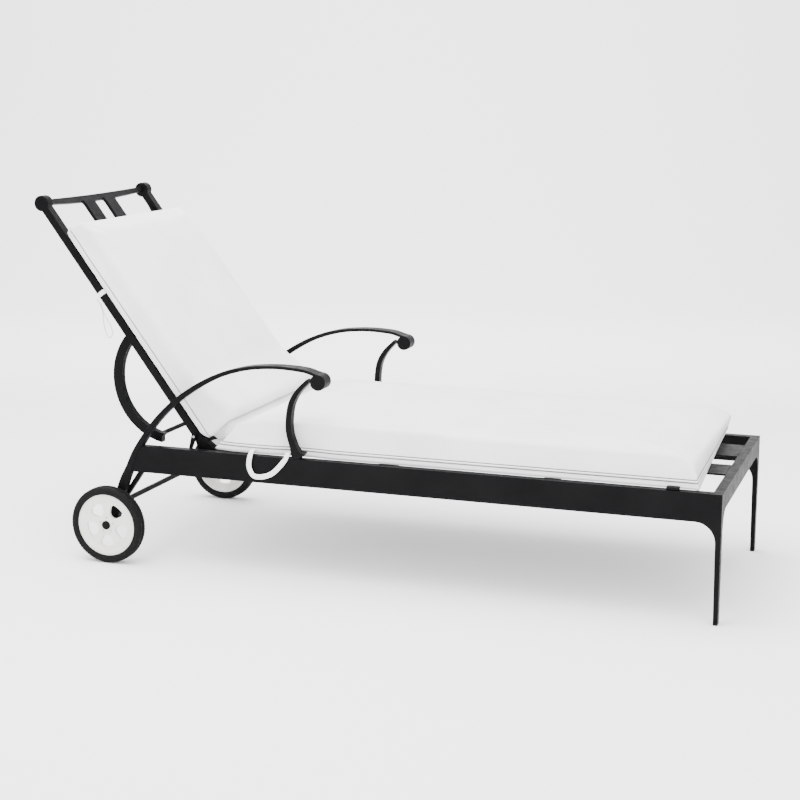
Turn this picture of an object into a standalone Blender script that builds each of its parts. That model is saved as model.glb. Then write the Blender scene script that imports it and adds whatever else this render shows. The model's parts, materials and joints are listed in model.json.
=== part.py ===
"""Reclining sun lounger: a wheeled cast-metal frame, a back that tips down, and a two-part cushion.

Metres, +Z up. X runs along the lounger with the foot end at +X, Y across it, and the floor is z = 0.
Side is -1 for the near half and +1 for the far half.
"""

import math

import bmesh
import bpy
from mathutils import Matrix, Vector

# Driving dimensions
FRAME_WIDTH = 0.660  # over the outer faces of the side rails
RAIL_TOP = 0.3126
RAIL_HEIGHT = 0.0687
SEAT_LENGTH = 1.315  # foot face to back hinge
BACK_LENGTH = 0.783  # hinge to the centre of the rolled tops
BACK_ANGLE = math.radians(53.6)  # of the stiles above level, at rest
ARM_TOP = 0.545
WHEEL_RADIUS = 0.1015
CUSHION_THICK = 0.075
CUSHION_EDGE = 0.0055
GAP = 0.0003  # between pieces that touch

# Section sizes
RAIL_THICK = 0.024
HINGE_DROP = 0.0196  # hinge centre below the rail top
STILE_WIDTH = 0.027
STILE_DEPTH = 0.020
STILE_TO_RAIL = 0.023
SCROLL_RADIUS = 0.0203
DECK_THICK = 0.005
WHEEL_WIDTH = 0.036
ARM_WIDTH = 0.022
POST_WIDTH = 0.024
BOLT_RADIUS = 0.005
LEG_WIDTH_X = 0.012
FOOT_RAIL_WIDTH = 0.023

# Places worked out from them
HALF_LENGTH = (SEAT_LENGTH + BACK_LENGTH * math.cos(BACK_ANGLE) + SCROLL_RADIUS) / 2
FOOT_X = HALF_LENGTH
HINGE_X = FOOT_X - SEAT_LENGTH
HINGE_Z = RAIL_TOP - HINGE_DROP
RAIL_OUT = FRAME_WIDTH / 2
RAIL_IN = RAIL_OUT - RAIL_THICK
RAIL_BOTTOM = RAIL_TOP - RAIL_HEIGHT
STILE_OUT = RAIL_IN - STILE_TO_RAIL
STILE_IN = STILE_OUT - STILE_WIDTH
ARM_Y = (RAIL_OUT + RAIL_IN) / 2 - 0.0005
ARM_CURL = 0.020
ARM_BOSS = 0.0112  # out from the middle of the arm
ARM_CURL_X, ARM_CURL_Z = HINGE_X + 0.325, ARM_TOP - 0.034
AXLE_X = HINGE_X - 0.2635
AXLE_Z = WHEEL_RADIUS
STRETCHER_X, STRETCHER_Z = HINGE_X - 0.2475, AXLE_Z + 0.0497
STRETCHER_RADIUS = 0.007
WHEEL_IN = RAIL_OUT - 0.0006
WHEEL_Y = WHEEL_IN + WHEEL_WIDTH / 2
RIM_FACE = WHEEL_WIDTH / 2 - 0.006  # out from the middle of the wheel
HUB_FACE = RIM_FACE - 0.0005
SEAT_BASE = RAIL_TOP + GAP
SEAT_HALF = ARM_Y - POST_WIDTH / 2 - 0.001
BACK_HALF = STILE_OUT + 0.005
RATCHET_RADIUS = 0.042
RATCHET_IN = STILE_OUT + 0.0045
RATCHET_OUT = RATCHET_IN + 0.0082
CRESCENT_X, CRESCENT_Z = HINGE_X - 0.101, HINGE_Z + 0.1886
CRESCENT_RADIUS = 0.159
CRESCENT_BAR = 0.0240
CROSSBAR_X, CROSSBAR_Z = HINGE_X - 0.142, HINGE_Z + 0.0425
TIE_UP = BACK_LENGTH * 0.64  # ties, from the hinge

UP = Vector((-math.cos(BACK_ANGLE), 0, math.sin(BACK_ANGLE)))
FRONT = Vector((math.sin(BACK_ANGLE), 0, math.cos(BACK_ANGLE)))
SIDES = (("near", -1), ("far", 1))


def clear_scene():
    for obj in list(bpy.data.objects):
        bpy.data.objects.remove(obj, do_unlink=True)


def new_collection(name, hidden=False):
    made = bpy.data.collections.new(name)
    bpy.context.scene.collection.children.link(made)
    made.hide_render = hidden
    return made


clear_scene()
PARTS = new_collection("sun_lounger")
CUTTERS = new_collection("cutters", hidden=True)


def material(name, colour, roughness, metallic=0.0):
    made = bpy.data.materials.get(name) or bpy.data.materials.new(name)
    made.use_nodes = True
    shader = made.node_tree.nodes["Principled BSDF"]
    shader.inputs["Base Color"].default_value = (*colour, 1)
    shader.inputs["Roughness"].default_value = roughness
    shader.inputs["Metallic"].default_value = metallic
    return made


def powder_coat():
    return material("powder_coat", (0.025, 0.025, 0.026), 0.5, 0.2)


def zinc_steel():
    return material("zinc_steel", (0.30, 0.30, 0.31), 0.4, 1.0)


def black_plastic():
    return material("black_plastic", (0.02, 0.02, 0.02), 0.5)


def rim_plastic():
    return material("rim_plastic", (0.80, 0.79, 0.76), 0.4)


def tyre_rubber():
    return material("tyre_rubber", (0.035, 0.035, 0.035), 0.8)


def canvas():
    return material("canvas", (0.78, 0.78, 0.77), 0.9)


def tie_tape():
    return material("tie_tape", (0.80, 0.80, 0.78), 0.9)


def add_object(name, mesh, finish, pivot=None):
    """Puts a mesh made in world space into the scene, with its origin at pivot."""
    obj = bpy.data.objects.new(name, mesh)
    PARTS.objects.link(obj)
    mesh.materials.append(finish)
    if pivot is not None:
        mesh.transform(Matrix.Translation(-Vector(pivot)))
        obj.location = pivot
    mesh.polygons.foreach_set("use_smooth", [True] * len(mesh.polygons))
    mesh.set_sharp_from_angle(angle=math.radians(40))
    return obj


def mesh_of(build, name):
    """A closed mesh from a function that fills a bmesh, with its faces turned outwards."""
    bm = bmesh.new()
    build(bm)
    bmesh.ops.remove_doubles(bm, verts=bm.verts, dist=0.00001)
    bmesh.ops.recalc_face_normals(bm, faces=bm.faces)
    if bm.calc_volume(signed=True) < 0:
        bmesh.ops.reverse_faces(bm, faces=bm.faces)
    mesh = bpy.data.meshes.new(name)
    bm.to_mesh(mesh)
    bm.free()
    return mesh


def evaluated_mesh(data, modify=None):
    """The mesh that curve or mesh data makes, once modify has given its object modifiers."""
    helper = bpy.data.objects.new("helper", data)
    CUTTERS.objects.link(helper)
    if modify:
        modify(helper)
    graph = bpy.context.evaluated_depsgraph_get()
    mesh = bpy.data.meshes.new_from_object(helper.evaluated_get(graph))
    bpy.data.objects.remove(helper, do_unlink=True)
    return mesh


def round_edges(obj, width, segments=2, angle=50):
    bevel = obj.modifiers.new("rounded edges", "BEVEL")
    bevel.width = width
    bevel.segments = segments
    bevel.limit_method = "ANGLE"
    bevel.angle_limit = math.radians(angle)


def plane(across, up, place):
    """A matrix whose first two axes are an outline's own, and whose third is the way it is thickened."""
    across, up = Vector(across), Vector(up)
    turned_to = Matrix((across, up, across.cross(up))).transposed().to_4x4()
    return Matrix.Translation(place) @ turned_to


def upright(y):
    return plane((1, 0, 0), (0, 0, 1), (0, y, 0))


def crosswise(x):
    return plane((0, 1, 0), (0, 0, 1), (x, 0, 0))


def on_back_plane(off):
    return plane((0, 1, 0), UP, Vector((HINGE_X, 0, HINGE_Z)) + FRONT * off)


def cut_out(name, loops, where, depth, finish, edge=0.0015, pivot=None):
    """Flat outlines on the plane where, filled between them and thickened by depth, half to each side."""
    data = bpy.data.curves.new(name, "CURVE")
    data.dimensions, data.fill_mode, data.extrude = "2D", "BOTH", depth / 2
    for loop in loops:
        spline = data.splines.new("POLY")
        spline.points.add(len(loop) - 1)
        for point, (x, y) in zip(spline.points, loop):
            point.co = (x, y, 0, 1)
        spline.use_cyclic_u = True
    flat = evaluated_mesh(data)
    flat.transform(where)
    obj = add_object(name, mesh_of(lambda bm: bm.from_mesh(flat), name), finish, pivot)
    if edge:
        round_edges(obj, edge)
    return obj


def plate(name, outline_xz, y_from, y_to, finish, edge=0.0015, pivot=None):
    """A flat plate standing along X, cut to outline_xz."""
    return cut_out(name, [outline_xz], upright((y_from + y_to) / 2), abs(y_to - y_from), finish, edge, pivot)


def bar(name, low, high, finish, edge=0.0015, pivot=None):
    """A square-cornered bar between two opposite corners."""
    low, high = Vector(low), Vector(high)
    size = Matrix.Diagonal((*(high - low), 1))
    place = Matrix.Translation((low + high) / 2) @ size
    obj = add_object(name, mesh_of(lambda bm: bmesh.ops.create_cube(bm, size=1, matrix=place), name), finish, pivot)
    if edge:
        round_edges(obj, edge)
    return obj


def round_bar(name, x, z, y_from, y_to, radius, finish, sides=24, pivot=None):
    """A round bar along Y."""
    lie_down = Matrix.Rotation(math.pi / 2, 4, "X")
    place = Matrix.Translation((x, (y_from + y_to) / 2, z)) @ lie_down

    def build(bm):
        bmesh.ops.create_cone(
            bm, cap_ends=True, segments=sides, radius1=radius, radius2=radius, depth=abs(y_to - y_from), matrix=place
        )

    return add_object(name, mesh_of(build, name), finish, pivot)


def arc(x, z, radius, start, end, steps):
    """Points round (x, z), from start to end degrees, both included."""
    turns = [math.radians(start + (end - start) * i / steps) for i in range(steps + 1)]
    return [(x + radius * math.cos(t), z + radius * math.sin(t)) for t in turns]


def smooth_path(keys, steps):
    """A smooth curve through key points of any size, steps pieces to each stretch."""
    found = []
    last = len(keys) - 1
    for i in range(last):
        before, here = keys[max(i - 1, 0)], keys[i]
        after, beyond = keys[i + 1], keys[min(i + 2, last)]
        for j in range(steps + (i == last - 1)):
            t = j / steps
            found.append(
                tuple(
                    0.5 * (2 * b + (c - a) * t + (2 * a - 5 * b + 4 * c - d) * t**2)
                    + 0.5 * (3 * b - a - 3 * c + d) * t**3
                    for a, b, c, d in zip(before, here, after, beyond)
                )
            )
    return found


def rounded_section(half_thick, half_wide, corner):
    """Twelve points round a rectangle with rounded corners."""
    found = []
    for cx, cy, start in ((1, 1, 0), (-1, 1, 90), (-1, -1, 180), (1, -1, 270)):
        for turn in (0, 45, 90):
            t = math.radians(start + turn)
            found.append(
                (
                    cx * (half_thick - corner) + corner * math.cos(t),
                    cy * (half_wide - corner) + corner * math.sin(t),
                )
            )
    return found


def strap(name, stations, y_centre, finish, grow=0.0):
    """A strap that follows stations (x, z, thickness, width) and lies across Y."""

    def build(bm):
        rings = []
        for i, (x, z, thick, wide) in enumerate(stations):
            x0, z0 = stations[max(i - 1, 0)][:2]
            x1, z1 = stations[min(i + 1, len(stations) - 1)][:2]
            along = Vector((x1 - x0, 0, z1 - z0)).normalized()
            side = Vector((along.z, 0, -along.x))
            corner = min(0.0022, thick * 0.3)
            section = rounded_section(thick / 2 + grow, wide / 2 + grow * 10, corner)
            centre = Vector((x, y_centre, z))
            rings.append([bm.verts.new(centre + side * p + Vector((0, q, 0))) for p, q in section])
        for one, two in zip(rings, rings[1:]):
            for j in range(len(one)):
                k = (j + 1) % len(one)
                bm.faces.new((one[j], one[k], two[k], two[j]))
        bm.faces.new(rings[0])
        bm.faces.new(rings[-1])

    return add_object(name, mesh_of(build, name), finish)


def turned(name, profile, y, x, z, finish, sides=48, pivot=None, closed=True):
    """A solid turned about a line along Y. profile is (radius, distance along Y) points: a closed ring, or from
    one point on the line to another."""
    data = bpy.data.meshes.new(name)
    count = len(profile)
    links = [(i, (i + 1) % count) for i in range(count if closed else count - 1)]
    data.from_pydata([(r, d, 0) for r, d in profile], links, [])

    def modify(helper):
        screw = helper.modifiers.new("turn", "SCREW")
        screw.axis = "Y"
        screw.steps = screw.render_steps = sides
        screw.use_merge_vertices, screw.merge_threshold = True, 0.0001

    ring = evaluated_mesh(data, modify)
    ring.transform(Matrix.Translation((x, y, z)))
    return add_object(name, mesh_of(lambda bm: bm.from_mesh(ring), name), finish, pivot)


def tube(name, path, radius, finish):
    """A round cord along 3-D points."""
    data = bpy.data.curves.new(name, "CURVE")
    data.dimensions = "3D"
    data.bevel_depth, data.bevel_resolution, data.use_fill_caps = radius, 2, True
    spline = data.splines.new("POLY")
    spline.points.add(len(path) - 1)
    for point, here in zip(spline.points, path):
        point.co = (*here, 1)
    data.materials.append(finish)
    cord = bpy.data.objects.new(name, data)
    PARTS.objects.link(cord)
    return cord


def cut(obj, cutter, operation="DIFFERENCE", before_rounding=False):
    """Cuts cutter out of obj, or joins it, and keeps the cutter among the hidden ones."""
    PARTS.objects.unlink(cutter)
    CUTTERS.objects.link(cutter)
    cutter.hide_render = True
    cutter.display_type = "WIRE"
    boolean = obj.modifiers.new(operation.lower(), "BOOLEAN")
    boolean.operation = operation
    boolean.solver = "EXACT"
    boolean.object = cutter
    if before_rounding:
        obj.modifiers.move(len(obj.modifiers) - 1, 0)


def mirrored_span(side, inner, outer):
    """(low y, high y) of a span that is inner to outer from the middle, on one side."""
    return (inner, outer) if side > 0 else (-outer, -inner)


def on_back(s, off):
    """(x, z) of a point s up the back from the hinge and off in front of the stile's centre line."""
    point = UP * s + FRONT * off
    return HINGE_X + point.x, HINGE_Z + point.z


def arm_stations(steps=4):
    """Axle to scroll: one strap that bends over forwards, thin and wide towards its front."""
    lift = ARM_TOP - 0.545
    h = HINGE_X + 1.315
    keys = (
        (AXLE_X, AXLE_Z + 0.001, 0.026, ARM_WIDTH),
        (h - 1.545, 0.205, 0.024, ARM_WIDTH),
        (h - 1.524, 0.252, 0.019, ARM_WIDTH),
        (h - 1.498, 0.305, 0.017, ARM_WIDTH),
        (h - 1.441, 0.383 + lift * 0.3, 0.0145, ARM_WIDTH),
        (h - 1.370, 0.448 + lift * 0.6, 0.0140, ARM_WIDTH),
        (h - 1.281, 0.5020 + lift, 0.0120, 0.026),
        (h - 1.195, 0.5313 + lift, 0.0095, 0.032),
        (h - 1.112, 0.5413 + lift, 0.008, 0.037),
        (h - 1.035, 0.5385 + lift, 0.008, 0.041),
        (h - 1.0035, 0.5310 + lift, 0.0075, 0.0425),
        (ARM_CURL_X - 0.002, ARM_CURL_Z + 0.0172, 0.0065, 0.0430),
        (ARM_CURL_X + 0.0095, ARM_CURL_Z + 0.0140, 0.0060, 0.0430),
        (ARM_CURL_X + 0.0155, ARM_CURL_Z + 0.0060, 0.0050, 0.0430),
    )
    return smooth_path(keys, steps)


def make_side_rail(label, side):
    """Rail and foot leg in one piece, its head end cut to the curve of the arm strap."""
    leg_in = FOOT_X - LEG_WIDTH_X - 0.001
    fillet = 0.048
    outline = [(FOOT_X, RAIL_TOP), (FOOT_X, GAP + 0.006), (FOOT_X - 0.011, GAP + 0.006)]
    outline += arc(leg_in - fillet, RAIL_BOTTOM - fillet, fillet, 0, 90, 8)
    outline += [(HINGE_X - 0.2135, RAIL_BOTTOM), (HINGE_X - 0.180, RAIL_TOP)]
    low, high = mirrored_span(side, RAIL_IN, RAIL_OUT)
    rail = plate(f"side_rail_{label}", outline, low, high, powder_coat(), 0.0016)
    cutter = strap(f"arm_seat_{label}", arm_stations(), side * ARM_Y, powder_coat(), grow=0.0006)
    cut(rail, cutter, before_rounding=True)
    return rail


def make_foot_glide(label, side):
    low, high = mirrored_span(side, RAIL_IN, RAIL_OUT)
    corner = (FOOT_X - 0.0110, low, 0.0)
    return bar(f"foot_glide_{label}", corner, (FOOT_X, high, 0.006), black_plastic(), 0.001)


def make_foot_rail():
    """Cross board at the foot, with rounded brackets down the inside of the legs."""
    half = RAIL_IN - GAP
    depth, fillet = 0.045, 0.042
    outline = [(-half, RAIL_TOP), (half, RAIL_TOP), (half, RAIL_TOP - depth - fillet)]
    outline += arc(half - 0.002 - fillet, RAIL_TOP - depth - fillet, fillet, 0, 90, 8)
    outline += arc(-half + 0.002 + fillet, RAIL_TOP - depth - fillet, fillet, 90, 180, 8)
    outline += [(-half, RAIL_TOP - depth - fillet)]
    cut_out("foot_rail", [outline], crosswise(FOOT_X - FOOT_RAIL_WIDTH / 2), FOOT_RAIL_WIDTH, powder_coat())


def make_deck():
    """Two lengthwise slats, flush with the rails, on three cross rails."""
    start, end = HINGE_X + 0.055, FOOT_X - FOOT_RAIL_WIDTH - GAP
    spans = {"near": (-0.128, -0.026), "far": (0.069, 0.203)}
    share = FRAME_WIDTH / 0.660
    for label, (low, high) in spans.items():
        corner = (start, low * share, RAIL_TOP - DECK_THICK)
        bar(f"deck_slat_{label}", corner, (end, high * share, RAIL_TOP), powder_coat())
    top = RAIL_TOP - DECK_THICK - GAP
    half = RAIL_IN - GAP
    for label, x in (("foot", FOOT_X - 0.42), ("mid", FOOT_X - 0.84), ("head", HINGE_X + 0.065)):
        low, high = (x - 0.010, -half, top - 0.025), (x + 0.010, half, top)
        bar(f"seat_cross_rail_{label}", low, high, powder_coat())


def make_arm(label, side):
    """The strap from the axle to the front, ending in a rolled scroll, bored for the axle bolt."""
    arm = strap(f"arm_{label}", arm_stations(5), side * ARM_Y, powder_coat())
    low, high = mirrored_span(side, ARM_Y - 0.022, ARM_Y + 0.022)
    scroll = round_bar(f"arm_scroll_{label}", ARM_CURL_X, ARM_CURL_Z, low, high, ARM_CURL, powder_coat(), 28)
    round_edges(scroll, 0.002)
    cut(arm, scroll, "UNION")
    low, high = mirrored_span(side, ARM_Y - 0.03, ARM_Y + 0.03)
    boss = round_bar(f"axle_boss_{label}", AXLE_X, AXLE_Z, *mirrored_span(side, ARM_Y - 0.011, ARM_Y + ARM_BOSS),
                     0.0165, powder_coat(), 28)
    cut(arm, boss, "UNION")
    bore = round_bar(f"axle_bore_{label}", AXLE_X, AXLE_Z, low, high, BOLT_RADIUS + GAP, powder_coat(), 20)
    cut(arm, bore)
    return arm


def make_arm_post(label, side):
    """The curved front post, flared where it stands on the rail."""
    h = HINGE_X + 1.315
    lift = ARM_TOP - 0.545
    keys = (
        (h - 1.0455, RAIL_TOP + GAP, 0.042),
        (h - 1.0540, RAIL_TOP + 0.010, 0.027),
        (h - 1.0620, RAIL_TOP + 0.030, 0.0170),
        (h - 1.0735, 0.385 + lift * 0.4, 0.0150),
        (h - 1.0690, 0.441 + lift * 0.7, 0.0145),
        (h - 1.0510, 0.479 + lift, 0.0130),
        (h - 1.0200, 0.512 + lift, 0.0100),
    )
    stations = [(x, z, t, POST_WIDTH) for x, z, t in smooth_path(keys, 4)]
    post = strap(f"arm_post_{label}", stations, side * ARM_Y, powder_coat())
    low, high = mirrored_span(side, ARM_Y - 0.03, ARM_Y + 0.03)
    floor = bar(f"post_foot_{label}", (h - 1.09, low, RAIL_TOP - 0.04), (h - 1.0, high, RAIL_TOP + GAP), powder_coat(), 0)
    cut(post, floor, before_rounding=True)
    head = (low, high, ARM_CURL + 0.0004, powder_coat(), 28)
    room = round_bar(f"post_head_{label}", ARM_CURL_X, ARM_CURL_Z, *head)
    cut(post, room, before_rounding=True)
    arm_room = strap(f"post_top_{label}", arm_stations(), side * ARM_Y, powder_coat(), grow=0.0006)
    cut(post, arm_room, before_rounding=True)
    return post


def make_stretcher():
    half = ARM_Y - ARM_WIDTH / 2 - GAP
    round_bar("stretcher_tube", STRETCHER_X, STRETCHER_Z, -half, half, STRETCHER_RADIUS, powder_coat())


def make_leg_brace(label, side):
    """A short bar from the stretcher up against the inner face of the rail."""
    low, high = mirrored_span(side, RAIL_IN - 0.0123, RAIL_IN - GAP)
    top = (HINGE_X - 0.174, RAIL_BOTTOM + 0.012)
    along = Vector((top[0] - STRETCHER_X, top[1] - STRETCHER_Z)).normalized()
    across = Vector((along.y, -along.x)) * 0.006
    start = Vector((STRETCHER_X, STRETCHER_Z))
    end = Vector(top)
    outline = [tuple(p) for p in (start + across, end + across, end - across, start - across)]
    brace = plate(f"leg_brace_{label}", outline, low, high, powder_coat(), 0.001)
    room = round_bar(f"brace_seat_{label}", STRETCHER_X, STRETCHER_Z, low - 0.01, high + 0.01,
                     STRETCHER_RADIUS + GAP, powder_coat())
    cut(brace, room, before_rounding=True)


def make_hinge_bracket(label, side):
    """A plate on the rail's inner face that holds the hinge bolt."""
    low, high = mirrored_span(side, RATCHET_OUT + GAP, RAIL_IN - GAP)
    outline = [(HINGE_X - 0.040, RAIL_TOP - 0.003), (HINGE_X - 0.040, RAIL_BOTTOM + 0.012)]
    outline += [(HINGE_X + 0.040, RAIL_BOTTOM + 0.012), (HINGE_X + 0.040, RAIL_TOP - 0.003)]
    bracket = plate(f"hinge_bracket_{label}", outline, low, high, powder_coat())
    bolt_hole(bracket, label, low, high)


def bolt_hole(obj, label, low, high, radius=BOLT_RADIUS + GAP):
    name = f"{obj.name}_bore"
    cut(obj, round_bar(name, HINGE_X, HINGE_Z, low - 0.01, high + 0.01, radius, powder_coat(), 20))


def make_ratchet(label, side):
    """A toothed quadrant round the hinge; its teeth face the pawl as the back goes down."""
    low, high = mirrored_span(side, RATCHET_IN, RATCHET_OUT)
    teeth, first, last = 9, 172, 226
    pitch = (last - first) / teeth
    outline = []
    for i in range(teeth):
        at = first + i * pitch
        outline += arc(HINGE_X, HINGE_Z, RATCHET_RADIUS, at, at + pitch * 0.35, 1)
        outline += arc(HINGE_X, HINGE_Z, RATCHET_RADIUS - 0.004, at + pitch * 0.5, at + pitch * 0.95, 1)
    outline += arc(HINGE_X, HINGE_Z, 0.013, last + 20, first + 340, 10)
    ratchet = plate(f"ratchet_{label}", outline, low, high, zinc_steel(), 0)
    bolt_hole(ratchet, label, low, high)


def make_pivot_bolt(label, side):
    """The hinge bolt: a round head inside the stile and a shank into the bracket."""
    head = STILE_IN - 0.0055
    profile = [(0.0095, 0), (0.0095, 0.004), (BOLT_RADIUS, 0.005), (BOLT_RADIUS, RAIL_IN - GAP * 4 - head)]
    capped_turn(f"pivot_bolt_{label}", profile, side, side * head, HINGE_X, HINGE_Z, zinc_steel())


def capped_turn(name, profile, side, y, x, z, finish, sides=24, pivot=None):
    """A solid with flat ends turned about Y; profile runs outwards from y, as (radius, distance)."""
    points = [(0, side * profile[0][1])] + [(r, side * d) for r, d in profile] + [(0, side * profile[-1][1])]
    return turned(name, points, y, x, z, finish, sides, pivot, closed=False)


def make_axle_bolt(label, side):
    """Head on the leg's inner face, shank through the leg, bush and wheel."""
    head = ARM_Y - ARM_WIDTH / 2 - 0.0058
    end = WHEEL_Y + HUB_FACE - 0.0005 - head
    profile = [(0.009, 0), (0.009, 0.0045), (BOLT_RADIUS, 0.0055), (BOLT_RADIUS, end)]
    capped_turn(f"axle_bolt_{label}", profile, side, side * head, AXLE_X, AXLE_Z, zinc_steel())


def make_rail_pad(label, side):
    low, high = mirrored_span(side, RAIL_IN + 0.003, RAIL_OUT - 0.003)
    base = RAIL_TOP + GAP
    bar(f"rail_pad_{label}", (FOOT_X - 0.130, low, base), (FOOT_X - 0.100, high, base + 0.008), black_plastic(), 0.002)


def cushion_block(name, outline, half, crown, pivot=None):
    """A padded block: outline is (x, z) points; the corners across are eased in."""
    return plate(name, outline, -half, half, canvas(), CUSHION_EDGE, pivot)


def make_seat_cushion():
    """From the foot to the mitre at the hinge."""
    top = SEAT_BASE + CUSHION_THICK
    end = FOOT_X - 0.055
    outline = [(HINGE_X + 0.015, SEAT_BASE), (end, SEAT_BASE), (end - 0.003, SEAT_BASE + 0.030)]
    outline += [(end - 0.012, top - 0.010), (end - 0.055, top + 0.010), (HINGE_X + 0.16, top + 0.014)]
    outline += [(HINGE_X + 0.088, top + 0.004)]
    return cushion_block("seat_cushion", outline, SEAT_HALF, 0.01)


def make_back_cushion():
    """From the mitre up to just under the upper cross rail."""
    back = STILE_DEPTH / 2 + 0.0022
    top = BACK_LENGTH - 0.103
    front = back + CUSHION_THICK - 0.004
    outline = [on_back(*p) for p in (
        (0.028, back + 0.012), (0.060, back), (top - 0.012, back), (top, back + 0.030),
        (top - 0.008, front - 0.016), (top - 0.045, front), (0.18, front + 0.004), (0.036, front + 0.041),
    )]
    return cushion_block("back_cushion", outline, BACK_HALF, 0.01, (HINGE_X, 0, HINGE_Z))


def make_back_stile(label, side):
    """A bar with a lug at the hinge, rolled backwards into a scroll at its top."""
    half = STILE_DEPTH / 2
    outline = []
    outline += [on_back(0.052, -half), on_back(BACK_LENGTH - 0.004, -half)]
    outline += [on_back(BACK_LENGTH - 0.004, half), on_back(0.060, half), on_back(0.030, half + 0.004)]
    outline += [(HINGE_X + 0.020, HINGE_Z + 0.012)]
    outline += arc(HINGE_X, HINGE_Z, 0.023, 20, -120, 10)
    outline += [(HINGE_X - 0.026, HINGE_Z + 0.002)]
    low, high = mirrored_span(side, STILE_IN, STILE_OUT)
    pivot = (HINGE_X, 0, HINGE_Z)
    stile = plate(f"back_stile_{label}", outline, low, high, powder_coat(), 0.0016, pivot)
    roll = round_bar(f"stile_roll_{label}", *on_back(BACK_LENGTH, 0), low, high, SCROLL_RADIUS, powder_coat(), 32)
    round_edges(roll, 0.0016)
    cut(stile, roll, "UNION")
    bolt_hole(stile, label, low, high, 0.0085)
    pin = round_bar(f"stile_pin_bore_{label}", *on_back(0.060, -0.002), low - 0.01, high + 0.01, 0.0033, powder_coat(), 16)
    cut(stile, pin)


def cross_board(name, s_low, s_high, off_low, off_high, half, bow=0.0, sag=0.0, end_trim=0.0):
    """A board across the back. bow sends its middle backwards, sag deepens its middle downwards."""

    def build(bm):
        rings = []
        steps = 16 if bow or sag else 1
        for i in range(steps + 1):
            share = 2 * i / steps - 1
            y = half * share
            middle = 1 - share * share
            back = bow * middle
            low = s_low + end_trim * (1 - middle) - sag * middle
            corners = ((low, off_low), (s_high, off_low), (s_high, off_high), (low, off_high))
            ring = []
            for s, off in corners:
                x, z = on_back(s, off - back)
                ring.append(bm.verts.new((x, y, z)))
            rings.append(ring)
        for one, two in zip(rings, rings[1:]):
            for j in range(4):
                k = (j + 1) % 4
                bm.faces.new((one[j], one[k], two[k], two[j]))
        bm.faces.new(rings[0])
        bm.faces.new(rings[-1])

    obj = add_object(name, mesh_of(build, name), powder_coat(), (HINGE_X, 0, HINGE_Z))
    round_edges(obj, 0.0015)
    return obj


def make_back_rails():
    half = STILE_IN - GAP
    top = BACK_LENGTH + 0.008
    cross_board("crest_rail", top - 0.019, top, -0.005, 0.005, half, bow=0.006, end_trim=0.006)
    peg = BACK_LENGTH - 0.093
    upper = cross_board("back_cross_rail_upper", peg - 0.005, peg + 0.005, -0.0095, -0.0008, half)
    for label, side in SIDES:
        cut(upper, stile_gusset(f"gusset_{label}", side, half), "UNION")
    cross_board("back_cross_rail_lower", 0.052, 0.072, -0.0095, -0.0008, half)


def stile_gusset(name, side, half):
    """The curved web between the upper cross rail and the stile: a thin bow that swells inwards."""
    base = BACK_LENGTH
    inner = (
        (base - 0.150, 0.0), (base - 0.140, 0.006), (base - 0.115, 0.015), (base - 0.093, 0.014),
        (base - 0.075, 0.008), (base - 0.056, 0.003), (base - 0.040, 0.0),
    )
    keys = smooth_path(inner, 3)
    outline = [(side * (half - max(reach, 0.0)), s) for s, reach in keys]
    return cut_out(name, [outline], on_back_plane(-0.0050), 0.008, powder_coat(), 0, (HINGE_X, 0, HINGE_Z))


def make_back_slat(label, side):
    """A lengthwise slat that hangs from the crest rail to the lower cross rail."""
    centre, half = side * 0.055 - 0.010, 0.029
    low, high = centre - half, centre + half
    top = BACK_LENGTH - 0.0115
    outline = [(low, 0.050), (low + 0.002, top - 0.012), (low - 0.004, top), (high + 0.004, top)]
    outline += [(high - 0.002, top - 0.012), (high, 0.050)]
    thick = 0.009
    where = on_back_plane(GAP + thick / 2)
    cut_out(f"back_slat_{label}", [outline], where, thick, powder_coat(), pivot=(HINGE_X, 0, HINGE_Z))


def make_crescent(label, side):
    """The half-moon brace behind the stile; it swings down between the legs with the back."""
    half = CRESCENT_BAR / 2
    outer, inner = CRESCENT_RADIUS + half, CRESCENT_RADIUS - half
    outline = arc(CRESCENT_X, CRESCENT_Z, outer, 137, 258, 22)
    outline += [(CROSSBAR_X + 0.006, CROSSBAR_Z - 0.0065), (CROSSBAR_X + 0.014, CROSSBAR_Z + 0.003)]
    outline += arc(CRESCENT_X, CRESCENT_Z, inner, 253, 139, 20)
    low, high = mirrored_span(side, STILE_IN + 0.004, STILE_OUT - 0.003)
    pivot = (HINGE_X, 0, HINGE_Z)
    crescent = plate(f"crescent_{label}", outline, low, high, powder_coat(), 0.0016, pivot)
    room_points = [on_back(s, off) for s, off in ((-0.05, -STILE_DEPTH / 2 - GAP), (0.6, -STILE_DEPTH / 2 - GAP),
                                                  (0.6, 0.06), (-0.05, 0.06))]
    room = plate(f"crescent_seat_{label}", room_points, low - 0.01, high + 0.01, powder_coat(), 0)
    cut(crescent, room, before_rounding=True)


def make_crossbar():
    half = STILE_IN + 0.004 - GAP
    round_bar("crescent_crossbar", CROSSBAR_X, CROSSBAR_Z, -half, half, 0.0058, powder_coat(),
              pivot=(HINGE_X, 0, HINGE_Z))


def make_hinge_bush(label, side):
    """A flanged sleeve in the stile's lug, between it and the ratchet."""
    low, high = STILE_IN + 0.0005, STILE_OUT + GAP
    inner, outer = BOLT_RADIUS + GAP, 0.0085 - GAP
    profile = [(inner, low), (outer, low), (outer, high), (0.013, high), (0.013, RATCHET_IN - GAP)]
    profile += [(inner, RATCHET_IN - GAP)]
    if side < 0:
        profile = [(r, -y) for r, y in profile]
    turned(f"hinge_bush_{label}", profile, 0, HINGE_X, HINGE_Z, black_plastic(), 24, (HINGE_X, 0, HINGE_Z))


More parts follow.
